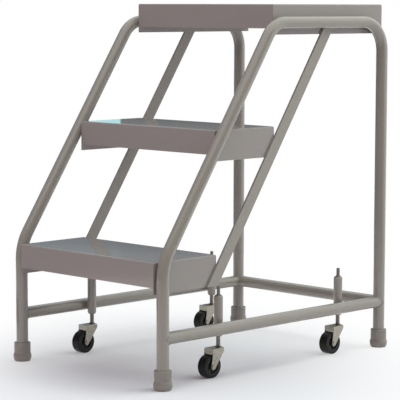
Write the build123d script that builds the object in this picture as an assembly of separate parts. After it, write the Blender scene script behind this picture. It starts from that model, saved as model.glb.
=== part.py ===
from build123d import *
from math import acos, atan2, cos, hypot, sin, tan
import os

# Rolling ladder with three treads between two bent tube side frames.
# Millimetres. +X is the climber's right, +Y away from the climber, +Z up.
# The origin is on the floor, at mid width and midway between the leg axes.

# Treads, folded from sheet
step_width = 406.4
step_rise = 254.0
step_run = 171.6
step_depth = 177.8
platform_depth = 355.6
step_nose = 13.0
platform_nose = 13.0
apron_depth = 50.8
flange_depth = 63.5
sheet = 1.9
fold_radius = 3.2
corner_radius = 1.2

# Side frames, each bent from one tube
tube_diameter = 25.4
tube_wall = 1.65
leg_spacing = 671.4
top_tube_drop = 38.1
knee_drop = 2.9
knee_radius = 101.6
shoulder_radius = 63.5
rear_radius = 63.5
weld_gap = 0.15
flange_gap = 0.7

# Lower rails
rail_height = 102.2

# Flat bar struts outside the flanges
strut_width = 25.4
strut_thickness = 4.8

# Rubber feet
foot_radius = 17.6
foot_sole_radius = 16.4
foot_bulge_radius = 19.3
foot_ledge = 0.8
foot_bulge_height = 17.0
foot_height = 40.0
foot_floor = 6.0
foot_edge = 1.0

# Caster sockets
socket_diameter = 19.05
socket_wall = 1.65
socket_length = 85.0
socket_drop = 19.2
crimp_height = 3.5
crimp_depth = 2.1
cap_thickness = 6.0
front_caster_setback = 180.2
rear_caster_setback = 114.6

# Spring loaded caster stems
stem_diameter = 8.7
stem_clearance = 0.35
stem_head_diameter = 12.7
stem_head_thickness = 1.6
pin_diameter = 7.4
pin_length = 18.3
pin_edge = 0.8
shoulder_gap = 1.5

# Caster forks
fork_width = 26.0
fork_sheet = 2.0
fork_headroom = 11.1
fork_front = 27.9
fork_rear = 4.4
fork_heel_drop = 6.5
fork_skirt = 10.6
fork_tip_radius = 6.3
fork_fold = 2.4

# Caster axles and wheels
caster_offset = 26.1
axle_diameter = 6.0
axle_head_diameter = 9.5
axle_head_thickness = 1.3
axle_head_edge = 0.8
axle_clearance = 0.1
hub_clearance = 0.5
wheel_radius = 24.0
wheel_width = 20.6
wheel_shoulder = 1.4
core_radius = 16.5
core_lip = 2.2
core_recess = 3.0
hub_radius = 6.5
hub_draft = 1.0

# Length by which a cutting shape passes the face that it cuts
overshoot = 1.0

tube_radius = tube_diameter / 2
bore_radius = tube_radius - tube_wall
leg_x = step_width / 2 + flange_gap + tube_radius
front_y = -leg_spacing / 2
rear_y = leg_spacing / 2
slope = step_rise / step_run
rake = atan2(step_rise, step_run)
knee_height = step_rise - knee_drop
top_tube_height = 3 * step_rise - top_tube_drop

socket_radius = socket_diameter / 2
socket_x = leg_x - tube_radius - weld_gap - socket_radius
socket_bottom = rail_height - socket_drop
socket_top = socket_bottom + socket_length

stem_radius = stem_diameter / 2
pin_radius = pin_diameter / 2
axle_radius = axle_diameter / 2
fork_plate = 2 * wheel_radius + fork_headroom
fork_top = fork_plate + fork_sheet
fork_inside = fork_width / 2 - fork_sheet


def upright(low, high, radius):
    return Pos(0, 0, (low + high) / 2) * Cylinder(radius, high - low)


def lengthwise(length, radius):
    return Rot(90, 0, 0) * Cylinder(radius, length)


def crosswise(length, radius):
    return Rot(0, 90, 0) * Cylinder(radius, length)


def block(x0, x1, y0, y1, z0, z1):
    centre = Pos((x0 + x1) / 2, (y0 + y1) / 2, (z0 + z1) / 2)
    return centre * Box(x1 - x0, y1 - y0, z1 - z0)


def turned_upright(outline):
    return revolve(Plane.XZ * make_face(outline), Axis.Z)


def turned_on_axle(outline):
    return revolve(Plane.XY * make_face(outline), Axis.X)


def direction(start, end):
    length = hypot(end[0] - start[0], end[1] - start[1])
    return (end[0] - start[0]) / length, (end[1] - start[1]) / length


def bent_path(points, radii):
    # Straight runs in the YZ plane, with a tangent arc of the given radius at each inner point.
    edges = []
    start = points[0]
    for before, corner, after, radius in zip(points, points[1:], points[2:], radii):
        u = direction(before, corner)
        v = direction(corner, after)
        turn = acos(u[0] * v[0] + u[1] * v[1])
        reach = radius * tan(turn / 2)
        first = (corner[0] - u[0] * reach, corner[1] - u[1] * reach)
        last = (corner[0] + v[0] * reach, corner[1] + v[1] * reach)
        inward = direction(u, v)
        sagitta = radius / cos(turn / 2) - radius
        middle = (corner[0] + inward[0] * sagitta, corner[1] + inward[1] * sagitta)
        edges.append(Line((0, *start), (0, *first)))
        edges.append(ThreePointArc((0, *first), (0, *middle), (0, *last)))
        start = last
    edges.append(Line((0, *start), (0, *points[-1])))
    return Wire(edges)


def side_frame():
    # Front leg, sloped stringer, top rail and rear leg in one tube.
    tube_end = foot_floor + weld_gap
    shoulder_y = front_y + (top_tube_height - knee_height) / slope
    points = [
        (front_y, tube_end),
        (front_y, knee_height),
        (shoulder_y, top_tube_height),
        (rear_y, top_tube_height),
        (rear_y, tube_end),
    ]
    path = bent_path(points, [knee_radius, shoulder_radius, rear_radius])
    section = Circle(tube_radius) - Circle(bore_radius)
    return sweep(Pos(0, front_y, tube_end) * section, path=path)


def coping_leg():
    return upright(0, 2 * rail_height, tube_radius + weld_gap)


def side_rail():
    # Both ends are coped round the legs.
    rail = lengthwise(leg_spacing, tube_radius) - lengthwise(leg_spacing, bore_radius)
    rail = Pos(0, 0, rail_height) * rail
    for y in (front_y, rear_y):
        rail -= Pos(0, y, 0) * coping_leg()
    return rail


def rear_rail():
    # Coped round the rear legs, and round the side rails that meet them at the same height.
    rail = crosswise(2 * leg_x, tube_radius) - crosswise(2 * leg_x, bore_radius)
    rail = Pos(0, rear_y, rail_height) * rail
    for x in (-leg_x, leg_x):
        rail -= Pos(x, rear_y, 0) * coping_leg()
        rail -= Pos(x, 0, rail_height) * lengthwise(leg_spacing, tube_radius + weld_gap)
    return rail


def tread(front, depth, top):
    # A folded pan, open below, with side flanges deeper than its front and rear aprons.
    half = step_width / 2
    back = front + depth
    low = top - flange_depth
    pan = block(-half, half, front, back, low, top)
    pan = fillet(pan.edges().filter_by(Axis.Z), corner_radius)
    pan = fillet(pan.faces().sort_by(Axis.Z)[-1].edges(), fold_radius)
    inside = half - sheet
    hollow = block(-inside, inside, front + sheet, back - sheet, low - overshoot, top - sheet)
    hollow = fillet(hollow.faces().sort_by(Axis.Z)[-1].edges(), fold_radius - sheet)
    pan -= hollow
    apron_edge = top - apron_depth
    pan -= block(-inside, inside, front - overshoot, back + overshoot, low - overshoot, apron_edge)
    return pan


def strut():
    # Parallel to the stringer, from the rear of the bottom step's flange to just under the top tube.
    low = step_rise - flange_depth
    high = top_tube_height - tube_radius
    reach = strut_width / 2 / sin(rake)
    low_y = front_y - step_nose + step_depth - reach
    high_y = low_y + (high - low) / slope
    outline = Polyline(
        (low_y - reach, low),
        (low_y + reach, low),
        (high_y + reach, high),
        (high_y - reach, high),
        close=True,
    )
    return extrude(Plane.YZ * make_face(outline), strut_thickness)


def foot():
    # A rubber cup over the leg's end, with a round bulge above its sole.
    mouth = tube_radius + weld_gap
    ledge_height = foot_bulge_height - foot_ledge
    sole = (foot_sole_radius, 0)
    ledge = (foot_radius + foot_ledge, ledge_height)
    outline = Line((0, 0), sole)
    outline += ThreePointArc(sole, (foot_bulge_radius, ledge_height / 2), ledge)
    outline += Polyline(
        ledge,
        (foot_radius, foot_bulge_height),
        (foot_radius, foot_height - foot_edge),
        (foot_radius - foot_edge, foot_height),
        (mouth, foot_height),
        (mouth, foot_floor),
        (0, foot_floor),
        (0, 0),
    )
    return turned_upright(outline)


def socket():
    # A tube with a bored cap at each end and crimped rims.
    neck = socket_radius - crimp_depth
    body = turned_upright(Polyline(
        (0, socket_bottom),
        (neck, socket_bottom),
        (socket_radius, socket_bottom + crimp_height),
        (socket_radius, socket_top - crimp_height),
        (neck, socket_top),
        (0, socket_top),
        close=True,
    ))
    upper_cap = socket_top - cap_thickness
    lower_cap = socket_bottom + cap_thickness
    body -= upright(lower_cap, upper_cap, socket_radius - socket_wall)
    body -= upright(socket_bottom - overshoot, lower_cap + overshoot, stem_radius + stem_clearance)
    body -= upright(upper_cap - overshoot, socket_top + overshoot, pin_radius + stem_clearance)
    return body


def stem():
    # A turned rod riveted under the fork's plate, thinner where it passes the socket's upper cap.
    head_top = fork_plate - weld_gap
    head_low = head_top - stem_head_thickness
    shoulder = socket_top - cap_thickness - shoulder_gap
    step_in = stem_radius - pin_radius
    pin_top = socket_top + pin_length
    return turned_upright(Polyline(
        (0, head_low),
        (stem_head_diameter / 2, head_low),
        (stem_head_diameter / 2, head_top),
        (stem_radius, head_top),
        (stem_radius, shoulder - step_in),
        (pin_radius, shoulder),
        (pin_radius, pin_top - pin_edge),
        (pin_radius - pin_edge, pin_top),
        (0, pin_top),
        close=True,
    ))


def tip_tangent(point, side):
    # The point where a straight edge from the given point touches the fork's round tip.
    rise = point[1] - wheel_radius
    run = point[0] + caster_offset
    angle = atan2(rise, run) + side * acos(fork_tip_radius / hypot(run, rise))
    return fork_tip_radius * cos(angle) - caster_offset, fork_tip_radius * sin(angle) + wheel_radius


def fork():
    # Bent from sheet: top plate, front skirt and two side plates that narrow to the axle.
    half = fork_width / 2
    skirt_edge = fork_top - fork_skirt
    brow = (-fork_front, skirt_edge)
    heel = (fork_rear, fork_top - fork_heel_drop)
    front_touch = tip_tangent(brow, 1)
    rear_touch = tip_tangent(heel, -1)
    outline = Polyline(rear_touch, heel, (fork_rear, fork_top), (-fork_front, fork_top), brow, front_touch)
    outline += ThreePointArc(front_touch, (-caster_offset, wheel_radius - fork_tip_radius), rear_touch)
    body = extrude(Plane.YZ * make_face(outline), half, both=True)
    body = fillet(body.edges().filter_by(Axis.Y).group_by(Axis.Z)[-1], fork_fold)
    behind = fork_rear + overshoot
    before = -caster_offset - 2 * fork_tip_radius
    body -= block(-fork_inside, fork_inside, fork_sheet - fork_front, behind, 0, fork_plate)
    body -= block(-fork_inside, fork_inside, before, behind, 0, skirt_edge)
    body -= upright(0, fork_top + overshoot, stem_radius + weld_gap)
    axle_hole = crosswise(fork_width + 2 * overshoot, axle_radius + axle_clearance)
    return body - Pos(0, -caster_offset, wheel_radius) * axle_hole


def axle():
    # A rivet through both side plates.
    grip = fork_width + 2 * axle_clearance
    body = crosswise(grip, axle_radius)
    for side in (-1, 1):
        head = crosswise(axle_head_thickness, axle_head_diameter / 2)
        rim = head.edges().sort_by(Axis.X)[-1 if side > 0 else 0]
        body += Pos(side * (grip + axle_head_thickness) / 2, 0, 0) * chamfer(rim, axle_head_edge)
    return body


def tyre():
    inner = core_radius + axle_clearance
    half = wheel_width / 2
    corner = wheel_radius - wheel_shoulder
    face = half - wheel_shoulder
    bend = wheel_shoulder * cos(atan2(1, 1))
    outline = Polyline((-half, corner), (-half, inner), (half, inner), (half, corner))
    outline += ThreePointArc((half, corner), (face + bend, corner + bend), (face, wheel_radius))
    outline += Line((face, wheel_radius), (-face, wheel_radius))
    outline += ThreePointArc((-face, wheel_radius), (-face - bend, corner + bend), (-half, corner))
    return turned_on_axle(outline)


def wheel_core():
    # A hub, a recessed web and a rim lip, the same on both sides.
    half = wheel_width / 2
    bore = axle_radius + axle_clearance
    hub = fork_inside - hub_clearance
    web = half - core_recess
    lip = core_radius - core_lip
    # offset from the wheel's middle, radius
    right = [
        (hub, bore),
        (hub, hub_radius),
        (web, hub_radius + hub_draft),
        (web, lip),
        (half, lip),
        (half, core_radius),
    ]
    left = [(-offset, radius) for offset, radius in reversed(right)]
    return turned_on_axle(Polyline(*right, *left, close=True))


os.makedirs("parts", exist_ok=True)
parts = {"rear_lower_rail": rear_rail()}

# name, side, strut's inner face
sides = [
    ("left", -1, -step_width / 2 - strut_thickness),
    ("right", 1, step_width / 2),
]
for name, side, strut_x in sides:
    parts[f"{name}_side_frame"] = Pos(side * leg_x, 0, 0) * side_frame()
    parts[f"{name}_lower_rail"] = Pos(side * leg_x, 0, 0) * side_rail()
    parts[f"{name}_strut"] = Pos(strut_x, 0, 0) * strut()

# name, number of the step, nose before the sloped line, depth
steps = [
    ("bottom_step", 1, step_nose, step_depth),
    ("middle_step", 2, step_nose, step_depth),
    ("top_platform", 3, platform_nose, platform_depth),
]
for name, number, nose, depth in steps:
    front = front_y + (number - 1) * step_run - nose
    parts[name] = tread(front, depth, number * step_rise)

# name, side, leg line, caster line
corners = [
    ("front_left", -1, front_y, front_y + front_caster_setback),
    ("front_right", 1, front_y, front_y + front_caster_setback),
    ("rear_left", -1, rear_y, rear_y - rear_caster_setback),
    ("rear_right", 1, rear_y, rear_y - rear_caster_setback),
]
for name, side, leg_y, caster_y in corners:
    at_caster = Pos(side * socket_x, caster_y, 0)
    at_axle = at_caster * Pos(0, -caster_offset, wheel_radius)
    parts[f"{name}_foot"] = Pos(side * leg_x, leg_y, 0) * foot()
    parts[f"{name}_socket"] = at_caster * socket()
    parts[f"{name}_stem"] = at_caster * stem()
    parts[f"{name}_fork"] = at_caster * fork()
    parts[f"{name}_axle"] = at_axle * axle()
    parts[f"{name}_tyre"] = at_axle * tyre()
    parts[f"{name}_wheel_core"] = at_axle * wheel_core()

for name, shape in parts.items():
    export_step(shape, f"parts/{name}.step")
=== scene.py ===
import random
from math import atan2, ceil, cos, pi, radians, sin, sqrt

import bmesh
import bpy
from bpy.props import FloatProperty, FloatVectorProperty, IntProperty, PointerProperty
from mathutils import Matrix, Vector


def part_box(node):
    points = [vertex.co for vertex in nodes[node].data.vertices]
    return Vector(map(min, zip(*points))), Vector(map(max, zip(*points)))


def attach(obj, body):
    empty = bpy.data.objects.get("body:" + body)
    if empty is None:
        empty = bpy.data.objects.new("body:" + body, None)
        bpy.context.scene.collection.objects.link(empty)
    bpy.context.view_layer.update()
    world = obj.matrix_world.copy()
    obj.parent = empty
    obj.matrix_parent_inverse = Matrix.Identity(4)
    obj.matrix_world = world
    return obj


bl_info = {
    "name": "Rolling ladder dresser",
    "version": (1, 0, 0),
    "blender": (4, 5, 0),
    "location": "View3D > Sidebar > Ladder",
    "description": "Finishes, welds and small parts for a three-tread rolling ladder",
    "category": "Object",
}

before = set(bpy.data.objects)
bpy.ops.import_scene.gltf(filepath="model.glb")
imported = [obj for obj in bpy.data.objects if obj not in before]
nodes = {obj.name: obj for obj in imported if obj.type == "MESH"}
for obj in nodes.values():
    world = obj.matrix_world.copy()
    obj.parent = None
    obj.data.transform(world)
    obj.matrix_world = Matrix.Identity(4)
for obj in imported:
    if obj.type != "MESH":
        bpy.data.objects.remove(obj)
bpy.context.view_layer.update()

SIDES = (("left", -1), ("right", 1))
STEPS = ("bottom_step", "middle_step", "top_platform")
CORNERS = ("front_left", "front_right", "rear_left", "rear_right")


# Places, taken from the loaded frame

def middle(node):
    low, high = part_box(node)
    return (low + high) / 2


def extent(node):
    low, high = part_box(node)
    return high - low


TUBE_RADIUS = extent("right_lower_rail").x / 2
RAIL_HEIGHT = middle("right_lower_rail").z
LEG_X = middle("right_lower_rail").x
FRONT_Y = middle("front_right_foot").y
REAR_Y = middle("rear_right_foot").y
SOCKET_RADIUS = extent("front_right_socket").x / 2
SOCKET_X = middle("front_right_socket").x
FLANGE_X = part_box("bottom_step")[1].x
BAR_FACE_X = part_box("right_strut")[1].x
TOP_TUBE_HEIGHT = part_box("right_side_frame")[1].z - TUBE_RADIUS
STEP_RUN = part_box("middle_step")[0].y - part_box("bottom_step")[0].y
STEP_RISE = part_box("middle_step")[1].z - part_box("bottom_step")[1].z
SLOPE = STEP_RISE / STEP_RUN
RAKE = atan2(STEP_RISE, STEP_RUN)


# Weld beads: sizes in metres, shares and counts without a unit

RAIL_SEAM_POINTS = 72
SOCKET_SEAM_POINTS = 48
SOCKET_SEAM_HALF_WIDTH = 0.0052
SOCKET_SEAM_HALF_HEIGHT = 0.0062
BEAD_SIDES = 10
POINTS_PER_RIPPLE = 5
RIPPLE_SWELL = (0.94, 1.06)
RIPPLE_VALLEY = 0.86
RIPPLE_HEIGHT = 0.16
END_TAPER_RADII = 1.5
END_TIP_SHARE = 0.12
BEAD_INSET = 0.0006
STITCH_OFFSET = 0.0052
LEG_STITCH_RISE = 0.002
KNEE_DROP = 0.0029
CROSSING_DROP = 0.006
SLOPED_STITCH_SHARE = 0.8
PLATFORM_STITCH_START = 0.050
PLATFORM_STITCH_END = 0.075
PLATFORM_STITCH_SHARES = (0.0, 0.5, 1.0)
FLANGE_BEAD_RISE = 0.001
FLANGE_BEAD_SHARE = 0.62


# Ribs, mould lines and stem rings: sizes in metres, shares and counts without a unit

HUB_RADIUS = 0.0062
RIM_WALL = 0.0019
RIB_ROOT_DEPTH = 0.0032
RIB_FACE_DEPTH = 0.0007
RIB_WAIST_REACH = 0.003
RIB_WAIST_DIP = 0.0003
RIB_HUB_FLARE = 1.35
RIB_RIM_FLARE = 1.2
RIB_DRAFT = 1.3
RIB_ROUNDING = 0.00018
MOULD_LINE_OFFSET = 0.0052
MOULD_LINE_SINK = 0.00025
MOULD_LINE_POINTS = 96
MOULD_LINE_SIDES = 8
# inner radius, outer radius, height
WASHER = (0.0045, 0.0072, 0.0014)
CLIP = (0.0037, 0.0056, 0.0011)
CLIP_LIFT = 0.0003
RING_ROUNDING = 0.35
RING_POINTS = 48


# Stage

# name, place, target, size, power, colour
LAMPS = (
    ("key", (2.0, 2.3, 3.4), (0, 0, 0.35), (3.6, 3.6), 150, (0.87, 1.0, 0.92)),
    ("front", (0.6, -4.2, 2.0), (0, 0, 0.35), (2.4, 2.0), 50, (1.0, 0.78, 0.83)),
    ("top", (-0.3, 0.5, 3.6), (0, 0, 0.3), (3.4, 3.4), 72, (0.83, 1.0, 0.95)),
)
# name, first and last compass angle, radius, lower and upper edge, colour
CARDS = (
    ("card_back", 104, 165, 1.6, 0.002, 0.54, (0.17, 0.20, 0.235)),
    ("card_back_upper", 104, 165, 1.6, 0.54, 0.85, (0.14, 0.15, 0.16)),
    ("card_left", 165, 250, 1.6, 0.002, 2.4, (0.165, 0.175, 0.18)),
    ("card_front", 250, 380, 1.6, 0.002, 1.7, (0.13, 0.11, 0.105)),
    ("card_glare", 143.9, 165, 1.58, 0.55, 0.66, (0.55, 0.92, 1.0)),
    ("card_low", 196, 250, 0.80, 0.002, 0.07, (0.05, 0.05, 0.05)),
)
CARD_STRIPS = 48
# height in the ray's direction, colour
WORLD_STOPS = (
    (0.0, (0.42, 0.44, 0.46)),
    (0.25, (0.48, 0.51, 0.54)),
    (0.75, (0.58, 0.62, 0.66)),
)
FLOOR_SIZE = 30
# The oval on the floor outside which it turns white, and the shares of it where that starts and ends
OVAL_CENTRE = (0.196, -0.27, 0)
OVAL_TURN = radians(44.8)
OVAL_REACH = (0.66, 1.2, 1)
OVAL_FADE = (0.22, 1.0)
SENSOR_WIDTH = 36


# Settings

class LadderPaintSettings(bpy.types.PropertyGroup):
    """Enamel on the tubes, bars and treads"""
    frame_color: FloatVectorProperty(
        name="Frame enamel", description="Colour of tubes, rails, struts and sockets",
        default=(0.241, 0.213, 0.182), subtype="COLOR", min=0, max=1)
    tread_color: FloatVectorProperty(
        name="Tread enamel", description="Colour of the folded treads",
        default=(0.262, 0.226, 0.210), subtype="COLOR", min=0, max=1)
    scuff_color: FloatVectorProperty(
        name="Scuffed edge", description="Colour where the enamel has worn thin on edges",
        default=(0.34, 0.32, 0.30), subtype="COLOR", min=0, max=1)
    peel_size: FloatProperty(
        name="Peel size", description="Width of the ripples in the sprayed enamel",
        default=0.0022, unit="LENGTH", min=0.0005, max=0.01)
    scuff_width: FloatProperty(
        name="Scuff width", description="Width of the worn line along an edge",
        default=0.0012, unit="LENGTH", min=0.0002, max=0.005)


class LadderWeldSettings(bpy.types.PropertyGroup):
    """Weld beads between tubes, treads and bars"""
    bead_radius: FloatProperty(
        name="Bead radius", description="Radius of the beads round the coped rails",
        default=0.0019, unit="LENGTH", min=0.0005, max=0.005)
    stitch_radius: FloatProperty(
        name="Stitch radius", description="Radius of the short beads on treads, bars and sockets",
        default=0.0015, unit="LENGTH", min=0.0005, max=0.005)
    ripple_pitch: FloatProperty(
        name="Ripple pitch", description="Distance between the ripples of a bead",
        default=0.0016, unit="LENGTH", min=0.0005, max=0.006)
    stitch_length: FloatProperty(
        name="Stitch length", description="Length of a short bead on a long seam",
        default=0.025, unit="LENGTH", min=0.005, max=0.1)


class LadderFootSettings(bpy.types.PropertyGroup):
    """Rubber feet"""
    rubber_color: FloatVectorProperty(
        name="Foot rubber", description="Colour of the rubber feet",
        default=(0.222, 0.193, 0.169), subtype="COLOR", min=0, max=1)
    dust_color: FloatVectorProperty(
        name="Dust", description="Colour of the dust near the floor",
        default=(0.30, 0.28, 0.26), subtype="COLOR", min=0, max=1)
    dust_height: FloatProperty(
        name="Dust height", description="Height above the floor where the dust ends",
        default=0.012, unit="LENGTH", min=0.001, max=0.05)


class LadderCasterSettings(bpy.types.PropertyGroup):
    """Casters"""
    steel_color: FloatVectorProperty(
        name="Zinc plate", description="Colour of the forks and axles",
        default=(0.39, 0.365, 0.31), subtype="COLOR", min=0, max=1)
    stem_color: FloatVectorProperty(
        name="Stem steel", description="Colour of the oiled stems",
        default=(0.26, 0.24, 0.22), subtype="COLOR", min=0, max=1)
    tyre_color: FloatVectorProperty(
        name="Tyre rubber", description="Colour of the tyres",
        default=(0.006, 0.005, 0.0045), subtype="COLOR", min=0, max=1)
    core_color: FloatVectorProperty(
        name="Wheel plastic", description="Colour of the moulded wheel cores",
        default=(0.008, 0.008, 0.0075), subtype="COLOR", min=0, max=1)
    rib_count: IntProperty(
        name="Ribs", description="Number of ribs on each side of a wheel core",
        default=6, min=3, max=16)
    rib_thickness: FloatProperty(
        name="Rib thickness", description="Thickness of each rib",
        default=0.0013, unit="LENGTH", min=0.0005, max=0.004)
    mould_line: FloatProperty(
        name="Mould line", description="Radius of the two fine mould lines round each tyre",
        default=0.00022, unit="LENGTH", min=0.0001, max=0.001)


class LadderStageSettings(bpy.types.PropertyGroup):
    """Floor and camera"""
    floor_color: FloatVectorProperty(
        name="Floor", description="Colour of the pale floor",
        default=(0.645, 0.605, 0.63), subtype="COLOR", min=0, max=1)
    lens: FloatProperty(
        name="Lens", description="Focal length in millimetres",
        default=165.44, min=10, max=500)
    azimuth: FloatProperty(
        name="Azimuth", description="Heading of the camera, turned from +Y towards -X",
        default=radians(44.785), subtype="ANGLE")
    pitch: FloatProperty(
        name="Pitch", description="How far the camera looks down",
        default=radians(6.04), subtype="ANGLE")
    roll: FloatProperty(
        name="Roll", description="Turn of the picture about its centre",
        default=radians(0.13), subtype="ANGLE")
    eye: FloatVectorProperty(
        name="Eye", description="Place of the camera",
        default=(2.7935, -2.8285, 0.7585), subtype="TRANSLATION", unit="LENGTH")


# Node helpers. The owner of the nodes is a material or the world

def new_material(name, color, roughness, metallic=0.0):
    material = bpy.data.materials.new(name)
    material.use_nodes = True
    shader = material.node_tree.nodes["Principled BSDF"]
    shader.inputs["Base Color"].default_value = (*color, 1)
    shader.inputs["Roughness"].default_value = roughness
    shader.inputs["Metallic"].default_value = metallic
    material.diffuse_color = (*color, 1)
    return material, shader


def add_node(owner, kind, **inputs):
    node = owner.node_tree.nodes.new(kind)
    for name, value in inputs.items():
        node.inputs[name.replace("_", " ")].default_value = value
    return node


def link(owner, output, target):
    owner.node_tree.links.new(output, target)


def object_coordinates(owner):
    return add_node(owner, "ShaderNodeTexCoord").outputs["Object"]


def noise(owner, coordinates, size, detail=3.0, roughness=0.5):
    """Noise whose features are about the given size across, in metres"""
    node = add_node(owner, "ShaderNodeTexNoise", Scale=1 / size, Detail=detail, Roughness=roughness)
    link(owner, coordinates, node.inputs["Vector"])
    return node.outputs["Fac"]


def mapped(owner, value, low, high, to_low=0.0, to_high=1.0):
    node = add_node(owner, "ShaderNodeMapRange")
    for key, number in zip(("From Min", "From Max", "To Min", "To Max"), (low, high, to_low, to_high)):
        node.inputs[key].default_value = number
    link(owner, value, node.inputs["Value"])
    return node.outputs["Result"]


def patches(owner, coordinates, size, detail, low=0.3, high=0.7):
    """Soft patches between 0 and 1"""
    return mapped(owner, noise(owner, coordinates, size, detail), low, high)


def mixed(owner, factor, first, second):
    """Colour between two, each a colour or an output"""
    node = add_node(owner, "ShaderNodeMix")
    node.data_type = "RGBA"
    sockets = [s for s in node.inputs if s.type == "RGBA"]
    for socket, value in zip(sockets, (first, second)):
        if isinstance(value, bpy.types.NodeSocket):
            link(owner, value, socket)
        else:
            socket.default_value = (*value, 1)
    link(owner, factor, node.inputs["Factor"])
    return [s for s in node.outputs if s.type == "RGBA"][0]


def arithmetic(owner, operation, first, second):
    node = add_node(owner, "ShaderNodeMath")
    node.operation = operation
    for socket, value in zip(node.inputs, (first, second)):
        if isinstance(value, bpy.types.NodeSocket):
            link(owner, value, socket)
        else:
            socket.default_value = value
    return node.outputs["Value"]


def edge_mask(owner, width):
    """1 on outer edges and 0 on flat faces, from the rounded normal"""
    bevel = add_node(owner, "ShaderNodeBevel", Radius=width)
    geometry = add_node(owner, "ShaderNodeNewGeometry")
    dot = add_node(owner, "ShaderNodeVectorMath")
    dot.operation = "DOT_PRODUCT"
    link(owner, bevel.outputs["Normal"], dot.inputs[0])
    link(owner, geometry.outputs["Normal"], dot.inputs[1])
    flat_above, edge_below = 0.96, 0.78
    return mapped(owner, dot.outputs["Value"], flat_above, edge_below)


def bump(owner, shader, height, distance):
    node = add_node(owner, "ShaderNodeBump", Strength=1.0, Distance=distance)
    link(owner, height, node.inputs["Height"])
    link(owner, node.outputs["Normal"], shader.inputs["Normal"])


def seen_in_picture(owner):
    """1 for rays from the camera or off a mirror, 0 for rays that light the ladder"""
    path = add_node(owner, "ShaderNodeLightPath")
    seen = arithmetic(owner, "MAXIMUM", path.outputs["Is Camera Ray"], path.outputs["Is Glossy Ray"])
    return arithmetic(owner, "MAXIMUM", seen, path.outputs["Is Transmission Ray"])


def shaded(color, factor):
    return tuple(min(1.0, c * factor) for c in color)


# Finishes

def enamel(name, color, settings, roughness, coat):
    """Sprayed enamel: drift in colour, orange peel, and edges where it has worn thin"""
    material, shader = new_material(name, color, roughness)
    coordinates = object_coordinates(material)
    drift = patches(material, coordinates, size=0.16, detail=4.0)
    paint = mixed(material, drift, shaded(color, 0.985), shaded(color, 1.015))
    specks = noise(material, coordinates, size=0.0011, detail=2.0)
    specks = mapped(material, specks, 0.74, 0.84, 0.0, 0.15)
    paint = mixed(material, specks, paint, shaded(color, 0.88))
    scuffs = noise(material, coordinates, size=0.012, detail=5.0, roughness=0.6)
    scuffs = mapped(material, scuffs, 0.45, 0.62, 0.0, 0.75)
    worn = arithmetic(material, "MULTIPLY", edge_mask(material, settings.scuff_width), scuffs)
    paint = mixed(material, worn, paint, tuple(settings.scuff_color))
    link(material, paint, shader.inputs["Base Color"])
    smears = noise(material, coordinates, size=0.045, detail=5.0, roughness=0.62)
    smears = mapped(material, smears, 0.3, 0.7, roughness - 0.01, roughness + 0.01)
    link(material, smears, shader.inputs["Roughness"])
    peel = noise(material, coordinates, settings.peel_size, detail=1.5)
    bump(material, shader, peel, distance=0.000004)
    shader.inputs["Coat Weight"].default_value = coat
    shader.inputs["Coat Roughness"].default_value = 0.65 * roughness
    return material


def foot_rubber(settings):
    """Moulded rubber with a fine grain and dust near the floor"""
    color = tuple(settings.rubber_color)
    material, shader = new_material("foot_rubber", color, 0.34)
    coordinates = object_coordinates(material)
    blotches = patches(material, coordinates, size=0.010, detail=4.0)
    rubber = mixed(material, blotches, shaded(color, 0.96), shaded(color, 1.04))
    split = add_node(material, "ShaderNodeSeparateXYZ")
    link(material, coordinates, split.inputs["Vector"])
    low = mapped(material, split.outputs["Z"], 0.0, settings.dust_height, 0.55, 0.0)
    dusty = patches(material, coordinates, size=0.006, detail=5.0, low=0.4, high=0.65)
    dust = arithmetic(material, "MULTIPLY", low, dusty)
    link(material, mixed(material, dust, rubber, tuple(settings.dust_color)), shader.inputs["Base Color"])
    link(material, mapped(material, dusty, 0.0, 1.0, 0.20, 0.27), shader.inputs["Roughness"])
    grain = noise(material, coordinates, size=0.0008)
    bump(material, shader, grain, distance=0.00002)
    return material


def plated_steel(name, color, roughness):
    """Zinc plate: cloudy patches, faint drawn lines along the sheet, and a painted highlight on every edge"""
    material, shader = new_material(name, color, roughness, metallic=1.0)
    coordinates = object_coordinates(material)
    clouds = patches(material, coordinates, size=0.007, detail=5.0)
    plate = mixed(material, clouds, shaded(color, 0.86), shaded(color, 1.10))
    # Painted highlight, not wear: the edge mask below lifts every edge to 1.3 times the plate's colour.
    worn = edge_mask(material, width=0.0008)
    plate = mixed(material, worn, plate, shaded(color, 1.3))
    link(material, plate, shader.inputs["Base Color"])
    stretched = add_node(material, "ShaderNodeMapping", Scale=(1.0, 1.0, 0.08))
    link(material, coordinates, stretched.inputs["Vector"])
    lines = noise(material, stretched.outputs["Vector"], size=0.0006, detail=2.0)
    cloudy = mapped(material, clouds, 0.0, 1.0, roughness - 0.06, roughness + 0.10)
    link(material, cloudy, shader.inputs["Roughness"])
    bump(material, shader, lines, distance=0.00002)
    return material


def tyre_rubber(settings):
    """Black rubber, dusty where it rolls"""
    color = tuple(settings.tyre_color)
    material, shader = new_material("tyre_rubber", color, 0.38)
    shader.inputs["Specular IOR Level"].default_value = 0.25
    coordinates = object_coordinates(material)
    blotches = patches(material, coordinates, size=0.006, detail=5.0, low=0.35)
    link(material, mixed(material, blotches, color, shaded(color, 2.2)), shader.inputs["Base Color"])
    link(material, mapped(material, blotches, 0.0, 1.0, 0.30, 0.50), shader.inputs["Roughness"])
    grain = noise(material, coordinates, size=0.0009)
    bump(material, shader, grain, distance=0.00005)
    return material


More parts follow.
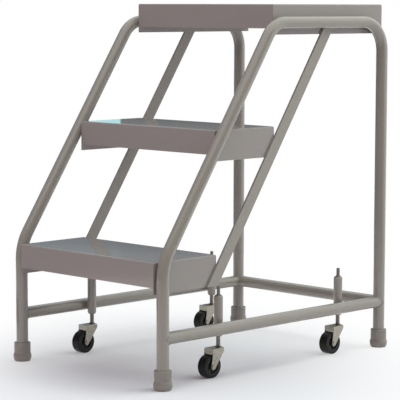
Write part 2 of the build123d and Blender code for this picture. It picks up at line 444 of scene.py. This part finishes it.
def core_plastic(settings):
    """Black moulded plastic with a fine spark texture"""
    color = tuple(settings.core_color)
    material, shader = new_material("wheel_plastic", color, 0.25)
    shader.inputs["Specular IOR Level"].default_value = 0.35
    coordinates = object_coordinates(material)
    haze = patches(material, coordinates, size=0.005, detail=4.0)
    link(material, mixed(material, haze, color, shaded(color, 1.8)), shader.inputs["Base Color"])
    link(material, mapped(material, haze, 0.0, 1.0, 0.18, 0.32), shader.inputs["Roughness"])
    sparks = noise(material, coordinates, size=0.0005, detail=2.0)
    bump(material, shader, sparks, distance=0.00002)
    return material


def finish_nodes(names, material):
    for name in names:
        data = nodes[name].data
        data.materials.clear()
        data.materials.append(material)


# Mesh helpers

def turns(count):
    """Angles at even steps round a circle"""
    return [2 * pi * k / count for k in range(count)]


def piece_from(name, mesh_data, material, body):
    data = bpy.data.meshes.new(name)
    mesh_data.to_mesh(data)
    mesh_data.free()
    data.materials.append(material)
    piece = bpy.data.objects.new(name, data)
    bpy.context.scene.collection.objects.link(piece)
    for polygon in data.polygons:
        polygon.use_smooth = True
    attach(piece, body)


def side_vectors(points, closed):
    """Tangents and two side directions at each point, carried along without twist"""
    count = len(points)
    tangents = []
    for i in range(count):
        before = points[i - 1] if i or closed else points[0]
        after = points[(i + 1) % count] if i + 1 < count or closed else points[-1]
        tangents.append((after - before).normalized())
    helper = Vector((0, 0, 1)) if abs(tangents[0].z) < 0.9 else Vector((1, 0, 0))
    side = tangents[0].cross(helper).normalized()
    frames = []
    for tangent in tangents:
        side = (side - tangent * side.dot(tangent)).normalized()
        frames.append((tangent, side, tangent.cross(side)))
    return frames


def lay_tube(mesh_data, points, radii, around, closed):
    """A round tube through the points, with its own radius at each"""
    rings = []
    for point, radius, (tangent, side, other) in zip(points, radii, side_vectors(points, closed)):
        rings.append([
            mesh_data.verts.new(point + (side * cos(angle) + other * sin(angle)) * radius)
            for angle in turns(around)])
    pairs = list(zip(rings, rings[1:]))
    if closed:
        pairs.append((rings[-1], rings[0]))
    else:
        mesh_data.faces.new(list(reversed(rings[0])))
        mesh_data.faces.new(rings[-1])
    for near, far in pairs:
        for k in range(around):
            after = (k + 1) % around
            mesh_data.faces.new((near[k], near[after], far[after], far[k]))


def spread(points, spacing, closed):
    """The same line with points at an even spacing, and the length run up to each"""
    loop = points + [points[0]] if closed else points
    lengths = [0.0]
    for a, b in zip(loop, loop[1:]):
        lengths.append(lengths[-1] + (b - a).length)
    total = lengths[-1]
    count = max(8, ceil(total / spacing))
    found, runs, at = [], [], 0
    for i in range(count if closed else count + 1):
        run = total * i / count
        while at < len(loop) - 2 and lengths[at + 1] < run:
            at += 1
        share = (run - lengths[at]) / max(lengths[at + 1] - lengths[at], 1e-9)
        found.append(loop[at].lerp(loop[at + 1], share))
        runs.append(run)
    return found, runs, total


def lay_bead(mesh_data, points, radius, pitch, seed, closed=False):
    """A rippled weld bead, laid along the points, with tapered ends unless it closes"""
    chance = random.Random(seed)
    points, runs, total = spread(points, pitch / POINTS_PER_RIPPLE, closed)
    phase = chance.random() * pitch
    swell = [chance.uniform(*RIPPLE_SWELL) for _ in range(ceil(total / pitch) + 2)]
    radii = []
    for run in runs:
        position = (run + phase) / pitch
        ripple = position - int(position)
        lump = swell[int(position) % len(swell)]
        value = radius * lump * (RIPPLE_VALLEY + RIPPLE_HEIGHT * sqrt(1 - ripple))
        if not closed:
            end = min(run, total - run) / (END_TAPER_RADII * radius)
            value *= sqrt(min(1.0, END_TIP_SHARE + end))
        radii.append(value)
    lay_tube(mesh_data, points, radii, BEAD_SIDES, closed)


# Weld beads

def leg_saddle(side, leg_y, inward):
    """The line where a side rail's end meets its leg, right round the rail"""
    points = []
    for angle in turns(RAIL_SEAM_POINTS):
        x, z = TUBE_RADIUS * cos(angle), TUBE_RADIUS * sin(angle)
        reach = sqrt(max(0.0, TUBE_RADIUS**2 - x**2))
        points.append(Vector((side * LEG_X + x, leg_y + inward * reach, RAIL_HEIGHT + z)))
    return points


def rear_saddle(side):
    """The line where the rear rail meets the leg and the side rail"""
    points = []
    for angle in turns(RAIL_SEAM_POINTS):
        y, z = TUBE_RADIUS * cos(angle), TUBE_RADIUS * sin(angle)
        reach = TUBE_RADIUS * (max(abs(sin(angle)), abs(cos(angle))) if y < 0 else abs(sin(angle)))
        points.append(Vector((side * (LEG_X - reach), REAR_Y + y, RAIL_HEIGHT + z)))
    return points


def socket_seam(side, caster_y):
    """A ring round the spot where a socket touches its rail"""
    points = []
    for angle in turns(SOCKET_SEAM_POINTS):
        y, z = SOCKET_SEAM_HALF_WIDTH * cos(angle), SOCKET_SEAM_HALF_HEIGHT * sin(angle)
        rail = LEG_X - sqrt(TUBE_RADIUS**2 - z**2)
        socket = SOCKET_X + sqrt(SOCKET_RADIUS**2 - y**2)
        points.append(Vector((side * (rail + socket) / 2, caster_y + y, RAIL_HEIGHT + z)))
    return points


def straight(start, end):
    return [Vector(start), Vector(end)]


def strut_edge(z):
    """How far back the strut's front edge is at a height"""
    low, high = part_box("right_strut")
    return low.y + (z - low.z) / SLOPE


def strut_stitches(side):
    """Beads along the strut where it lies on each flange, and across its two ends"""
    low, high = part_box("right_strut")
    width = (high.y - low.y) - (high.z - low.z) / SLOPE
    x = side * (FLANGE_X + BEAD_INSET)
    end_x = side * (BAR_FACE_X - BEAD_INSET)
    seams = []
    for name in ("bottom_step", "middle_step"):
        flange_low, flange_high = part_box(name)
        bottom = flange_low.z + FLANGE_BEAD_RISE
        top = bottom + (flange_high.z - flange_low.z) * FLANGE_BEAD_SHARE
        seams.append(straight((x, strut_edge(bottom), bottom), (x, strut_edge(top), top)))
    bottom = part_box("top_platform")[0].z + BEAD_INSET
    for offset in (0, width):
        seams.append(straight(
            (x, strut_edge(bottom) + offset, bottom),
            (x, strut_edge(high.z) + offset, high.z)))
    for seam_x, edge, z in ((end_x, strut_edge(high.z), high.z + BEAD_INSET), (x, low.y, low.z)):
        seams.append(straight((seam_x, edge + BEAD_INSET, z), (seam_x, edge + width - BEAD_INSET, z)))
    return seams


def flange_gap_x(offset):
    """Half way between the flange and a tube at this distance from their line of contact"""
    return (FLANGE_X + LEG_X - sqrt(TUBE_RADIUS**2 - offset**2)) / 2


def tread_stitches(side, settings):
    """Beads in the gaps between the treads' flanges and the tubes"""
    x = side * flange_gap_x(STITCH_OFFSET)
    seams = []
    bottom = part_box("bottom_step")[0].z + LEG_STITCH_RISE
    for sign in (-1, 1):
        y = FRONT_Y + sign * STITCH_OFFSET
        seams.append(straight((x, y, bottom), (x, y, bottom + settings.stitch_length)))
    knee_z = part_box("bottom_step")[1].z - KNEE_DROP
    crossing_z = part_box("middle_step")[1].z - CROSSING_DROP
    along = Vector((0, cos(RAKE), sin(RAKE)))
    across = Vector((0, sin(RAKE), -cos(RAKE)))
    start = Vector((x, FRONT_Y + (crossing_z - knee_z) / SLOPE, crossing_z)) + across * STITCH_OFFSET
    seams.append([start, start - along * (settings.stitch_length * SLOPED_STITCH_SHARE)])
    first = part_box("top_platform")[0].y + PLATFORM_STITCH_START
    last = REAR_Y - PLATFORM_STITCH_END - settings.stitch_length
    for sign in (-1, 1):
        z = TOP_TUBE_HEIGHT + sign * STITCH_OFFSET
        for share in PLATFORM_STITCH_SHARES:
            y = first + (last - first) * share
            seams.append(straight((x, y, z), (x, y + settings.stitch_length, z)))
    return seams


# Caster pieces

def wheel_ribs(corner, settings, material):
    """Ribs in the recess between hub and rim, on both sides of the wheel core"""
    low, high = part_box(f"{corner}_wheel_core")
    tyre_low, tyre_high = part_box(f"{corner}_tyre")
    centre = (low + high) / 2
    rim_radius = (high.z - low.z) / 2 - RIM_WALL
    half = (tyre_high.x - tyre_low.x) / 2
    web, face = half - RIB_ROOT_DEPTH, half - RIB_FACE_DEPTH
    # distance from the axle, depth under the rib's face, share of the thickness
    stations = (
        (HUB_RADIUS, 0.0, RIB_HUB_FLARE),
        (HUB_RADIUS + RIB_WAIST_REACH, RIB_WAIST_DIP, 1.0),
        (rim_radius, 0.0, RIB_RIM_FLARE),
    )
    mesh_data = bmesh.new()
    for k in range(settings.rib_count):
        angle = 2 * pi * (k + 0.5) / settings.rib_count
        out = Vector((0, cos(angle), sin(angle)))
        across = Vector((0, -sin(angle), cos(angle)))
        for sign in (-1, 1):
            rows = []
            for radius, depth, flare in stations:
                top, wide = face - depth, settings.rib_thickness / 2 * flare
                root = wide * RIB_DRAFT
                section = [(web, -root), (top, -wide), (top, wide), (web, root)]
                rows.append([
                    mesh_data.verts.new(centre + out * radius + across * w + Vector((sign * x, 0, 0)))
                    for x, w in section])
            for near, far in zip(rows, rows[1:]):
                for a in range(4):
                    b = (a + 1) % 4
                    mesh_data.faces.new((near[a], near[b], far[b], far[a]))
            mesh_data.faces.new(rows[0])
            mesh_data.faces.new(rows[-1])
    bmesh.ops.recalc_face_normals(mesh_data, faces=mesh_data.faces)
    bmesh.ops.bevel(mesh_data, geom=mesh_data.edges[:], offset=RIB_ROUNDING, segments=1, affect="EDGES")
    piece_from(f"{corner}_wheel_ribs", mesh_data, material, f"{corner}_wheel")


def tyre_line(corner, settings, material):
    """The two fine mould lines round the tread"""
    low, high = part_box(f"{corner}_tyre")
    centre = (low + high) / 2
    radius = (high.z - low.z) / 2 - MOULD_LINE_SINK
    mesh_data = bmesh.new()
    for offset in (-MOULD_LINE_OFFSET, MOULD_LINE_OFFSET):
        points = [
            centre + Vector((offset, radius * cos(angle), radius * sin(angle)))
            for angle in turns(MOULD_LINE_POINTS)]
        lay_tube(mesh_data, points, [settings.mould_line] * MOULD_LINE_POINTS, MOULD_LINE_SIDES, True)
    piece_from(f"{corner}_tyre_lines", mesh_data, material, f"{corner}_wheel")


def stem_collar(corner, material):
    """A pressed washer on the fork's plate round the stem, and a clip on the pin over the socket"""
    fork_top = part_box(f"{corner}_fork")[1].z
    stem_low, stem_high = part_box(f"{corner}_stem")
    socket_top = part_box(f"{corner}_socket")[1].z
    centre = (stem_low + stem_high) / 2
    mesh_data = bmesh.new()
    for base, (inner, outer, height) in ((fork_top, WASHER), (socket_top + CLIP_LIFT, CLIP)):
        edge = height * RING_ROUNDING
        top = base + height
        section = [
            (inner, base), (outer, base), (outer, top - edge),
            (outer - edge, top), (inner + edge / 2, top), (inner, top - edge / 2)]
        loops = [
            [mesh_data.verts.new((centre.x + r * cos(angle), centre.y + r * sin(angle), z)) for r, z in section]
            for angle in turns(RING_POINTS)]
        for near, far in zip(loops, loops[1:] + loops[:1]):
            for a in range(len(section)):
                b = (a + 1) % len(section)
                mesh_data.faces.new((near[a], far[a], far[b], near[b]))
    bmesh.ops.recalc_face_normals(mesh_data, faces=mesh_data.faces)
    piece_from(f"{corner}_stem_rings", mesh_data, material, f"{corner}_swivel")


# Operators

class LADDER_OT_paint_frame(bpy.types.Operator):
    """Enamel the side frames, rails, struts and sockets"""
    bl_idname = "ladder.paint_frame"
    bl_label = "Paint frame"

    def execute(self, context):
        settings = context.scene.ladder_paint
        material = enamel("frame_enamel", tuple(settings.frame_color), settings, roughness=0.24, coat=0.8)
        names = ["rear_lower_rail"]
        for side, _ in SIDES:
            names += [f"{side}_side_frame", f"{side}_lower_rail", f"{side}_strut"]
        names += [f"{corner}_socket" for corner in CORNERS]
        finish_nodes(names, material)
        return {"FINISHED"}


class LADDER_OT_paint_treads(bpy.types.Operator):
    """Enamel the two steps and the platform"""
    bl_idname = "ladder.paint_treads"
    bl_label = "Paint treads"

    def execute(self, context):
        settings = context.scene.ladder_paint
        material = enamel("tread_enamel", tuple(settings.tread_color), settings, roughness=0.09, coat=0.3)
        finish_nodes(STEPS, material)
        return {"FINISHED"}


class LADDER_OT_finish_feet(bpy.types.Operator):
    """Give the feet their rubber"""
    bl_idname = "ladder.finish_feet"
    bl_label = "Finish feet"

    def execute(self, context):
        finish_nodes([f"{corner}_foot" for corner in CORNERS], foot_rubber(context.scene.ladder_feet))
        return {"FINISHED"}


class LADDER_OT_weld_frame(bpy.types.Operator):
    """Lay the weld beads on rails, sockets, treads and struts"""
    bl_idname = "ladder.weld_frame"
    bl_label = "Weld frame"

    def execute(self, context):
        settings = context.scene.ladder_welds
        material = bpy.data.materials.get("frame_enamel")
        if material is None:
            raise RuntimeError("The frame is painted first")
        seed = 1
        for side, sign in SIDES:
            rail_seams = [leg_saddle(sign, FRONT_Y, 1), leg_saddle(sign, REAR_Y, -1), rear_saddle(sign)]
            socket_seams = [socket_seam(sign, middle(f"{end}_{side}_socket").y) for end in ("front", "rear")]
            groups = (
                ("rail_welds", rail_seams, settings.bead_radius, True),
                ("socket_welds", socket_seams, settings.stitch_radius, True),
                ("tread_welds", tread_stitches(sign, settings), settings.stitch_radius, False),
                ("strut_welds", strut_stitches(sign), settings.stitch_radius, False),
            )
            for label, seams, radius, closed in groups:
                mesh_data = bmesh.new()
                for seam in seams:
                    lay_bead(mesh_data, seam, radius, settings.ripple_pitch, seed, closed)
                    seed += 1
                piece_from(f"{side}_{label}", mesh_data, material, "frame")
        return {"FINISHED"}


class LADDER_OT_finish_casters(bpy.types.Operator):
    """Finish the casters, and add ribs, mould lines, washers and clips"""
    bl_idname = "ladder.finish_casters"
    bl_label = "Finish casters"

    def execute(self, context):
        settings = context.scene.ladder_casters
        zinc = plated_steel("caster_zinc", tuple(settings.steel_color), roughness=0.27)
        oiled = plated_steel("stem_steel", tuple(settings.stem_color), roughness=0.40)
        rubber = tyre_rubber(settings)
        plastic = core_plastic(settings)
        for corner in CORNERS:
            finish_nodes([f"{corner}_fork", f"{corner}_axle"], zinc)
            finish_nodes([f"{corner}_stem"], oiled)
            finish_nodes([f"{corner}_tyre"], rubber)
            finish_nodes([f"{corner}_wheel_core"], plastic)
            wheel_ribs(corner, settings, plastic)
            tyre_line(corner, settings, rubber)
            stem_collar(corner, zinc)
        return {"FINISHED"}


# Stage pieces

def floor_material(color):
    """Pale floor that fades to white away from the ladder where the camera or a mirror sees it"""
    material, shader = new_material("floor", color, 0.9)
    shader.inputs["Specular IOR Level"].default_value = 0.0
    oval = add_node(material, "ShaderNodeMapping")
    oval.vector_type = "TEXTURE"
    oval.inputs["Location"].default_value = OVAL_CENTRE
    oval.inputs["Rotation"].default_value = (0, 0, OVAL_TURN)
    oval.inputs["Scale"].default_value = OVAL_REACH
    link(material, object_coordinates(material), oval.inputs["Vector"])
    length = add_node(material, "ShaderNodeVectorMath")
    length.operation = "LENGTH"
    link(material, oval.outputs["Vector"], length.inputs[0])
    fade = add_node(material, "ShaderNodeMapRange")
    fade.interpolation_type = "SMOOTHSTEP"
    fade.inputs["From Min"].default_value, fade.inputs["From Max"].default_value = OVAL_FADE
    link(material, length.outputs["Value"], fade.inputs["Value"])
    amount = arithmetic(material, "MULTIPLY", seen_in_picture(material), fade.outputs["Result"])
    white = add_node(material, "ShaderNodeEmission")
    mix = add_node(material, "ShaderNodeMixShader")
    link(material, amount, mix.inputs["Fac"])
    link(material, shader.outputs["BSDF"], mix.inputs[1])
    link(material, white.outputs["Emission"], mix.inputs[2])
    link(material, mix.outputs["Shader"], material.node_tree.nodes["Material Output"].inputs["Surface"])
    return material


def make_world():
    """White where the camera or a mirror sees it, and a soft studio gradient for the light"""
    world = bpy.data.worlds.new("studio")
    bpy.context.scene.world = world
    world.use_nodes = True
    split = add_node(world, "ShaderNodeSeparateXYZ")
    link(world, add_node(world, "ShaderNodeTexCoord").outputs["Generated"], split.inputs["Vector"])
    ramp = add_node(world, "ShaderNodeValToRGB")
    elements = ramp.color_ramp.elements
    elements.new(0.5)
    for element, (height, color) in zip(elements, WORLD_STOPS):
        element.position = height
        element.color = (*color, 1)
    link(world, split.outputs["Z"], ramp.inputs["Fac"])
    shown = mixed(world, seen_in_picture(world), ramp.outputs["Color"], (1, 1, 1))
    link(world, shown, world.node_tree.nodes["Background"].inputs["Color"])


def hang_card(name, start, end, radius, bottom, top, color):
    """A curved card round the stage, from one compass angle to another, seen only in reflections"""
    mesh_data = bmesh.new()
    rows = []
    for k in range(CARD_STRIPS + 1):
        angle = radians(start + (end - start) * k / CARD_STRIPS)
        x, y = radius * cos(angle), radius * sin(angle)
        rows.append((mesh_data.verts.new((x, y, bottom)), mesh_data.verts.new((x, y, top))))
    for near, far in zip(rows, rows[1:]):
        mesh_data.faces.new((near[0], far[0], far[1], near[1]))
    data = bpy.data.meshes.new(name)
    mesh_data.to_mesh(data)
    mesh_data.free()
    material = bpy.data.materials.new(name)
    material.use_nodes = True
    tree = material.node_tree
    tree.nodes.remove(tree.nodes["Principled BSDF"])
    glow = add_node(material, "ShaderNodeEmission", Color=(*color, 1))
    link(material, glow.outputs["Emission"], tree.nodes["Material Output"].inputs["Surface"])
    data.materials.append(material)
    card = bpy.data.objects.new(name, data)
    bpy.context.scene.collection.objects.link(card)
    for kind in ("camera", "diffuse", "transmission", "volume_scatter", "shadow"):
        setattr(card, f"visible_{kind}", False)


def add_lamp(name, place, target, size, power, color):
    data = bpy.data.lights.new(name, "AREA")
    data.shape = "RECTANGLE"
    data.size, data.size_y = size
    data.energy = power
    data.color = color
    lamp = bpy.data.objects.new(name, data)
    lamp.visible_glossy = False
    bpy.context.scene.collection.objects.link(lamp)
    lamp.location = place
    lamp.rotation_euler = (Vector(target) - Vector(place)).to_track_quat("-Z", "Y").to_euler()


def place_camera(settings):
    data = bpy.data.cameras.new("camera")
    data.lens = settings.lens
    data.sensor_width = SENSOR_WIDTH
    camera = bpy.data.objects.new("camera", data)
    bpy.context.scene.collection.objects.link(camera)
    heading, pitch = settings.azimuth, settings.pitch
    forward = Vector((-sin(heading) * cos(pitch), cos(heading) * cos(pitch), -sin(pitch)))
    right = Vector((cos(heading), sin(heading), 0))
    up = right.cross(forward)
    tilted_right = right * cos(settings.roll) + up * sin(settings.roll)
    tilted_up = up * cos(settings.roll) - right * sin(settings.roll)
    rotation = camera.matrix_world.to_3x3()
    rotation.col[0], rotation.col[1], rotation.col[2] = tilted_right, tilted_up, -forward
    camera.matrix_world = rotation.to_4x4()
    camera.location = settings.eye
    bpy.context.scene.camera = camera


class LADDER_OT_set_stage(bpy.types.Operator):
    """Lay the floor, hang the lamps and cards, and place the camera"""
    bl_idname = "ladder.set_stage"
    bl_label = "Set stage"

    def execute(self, context):
        settings = context.scene.ladder_stage
        mesh_data = bmesh.new()
        bmesh.ops.create_grid(mesh_data, x_segments=8, y_segments=8, size=FLOOR_SIZE)
        data = bpy.data.meshes.new("floor")
        mesh_data.to_mesh(data)
        mesh_data.free()
        data.materials.append(floor_material(tuple(settings.floor_color)))
        floor = bpy.data.objects.new("floor", data)
        context.scene.collection.objects.link(floor)
        make_world()
        for lamp in LAMPS:
            add_lamp(*lamp)
        for card in CARDS:
            hang_card(*card)
        place_camera(settings)
        context.scene.view_settings.view_transform = "Standard"
        return {"FINISHED"}


class LADDER_PT_panel(bpy.types.Panel):
    """Ladder tools"""
    bl_idname = "LADDER_PT_panel"
    bl_label = "Rolling ladder"
    bl_space_type = "VIEW_3D"
    bl_region_type = "UI"
    bl_category = "Ladder"

    def draw(self, context):
        for operator in OPERATORS:
            self.layout.operator(operator.bl_idname)


SETTINGS = (
    ("ladder_paint", LadderPaintSettings),
    ("ladder_welds", LadderWeldSettings),
    ("ladder_feet", LadderFootSettings),
    ("ladder_casters", LadderCasterSettings),
    ("ladder_stage", LadderStageSettings),
)
OPERATORS = (
    LADDER_OT_paint_frame,
    LADDER_OT_paint_treads,
    LADDER_OT_finish_feet,
    LADDER_OT_weld_frame,
    LADDER_OT_finish_casters,
    LADDER_OT_set_stage,
)


def register():
    for attribute, group in SETTINGS:
        bpy.utils.register_class(group)
        setattr(bpy.types.Scene, attribute, PointerProperty(type=group))
    for operator in OPERATORS:
        bpy.utils.register_class(operator)
    bpy.utils.register_class(LADDER_PT_panel)


def unregister():
    bpy.utils.unregister_class(LADDER_PT_panel)
    for operator in reversed(OPERATORS):
        bpy.utils.unregister_class(operator)
    for attribute, group in reversed(SETTINGS):
        delattr(bpy.types.Scene, attribute)
        bpy.utils.unregister_class(group)


def main():
    register()
    bpy.ops.ladder.paint_frame()
    bpy.ops.ladder.paint_treads()
    bpy.ops.ladder.finish_feet()
    bpy.ops.ladder.weld_frame()
    bpy.ops.ladder.finish_casters()
    bpy.ops.ladder.set_stage()


if __name__ == "__main__":
    main()
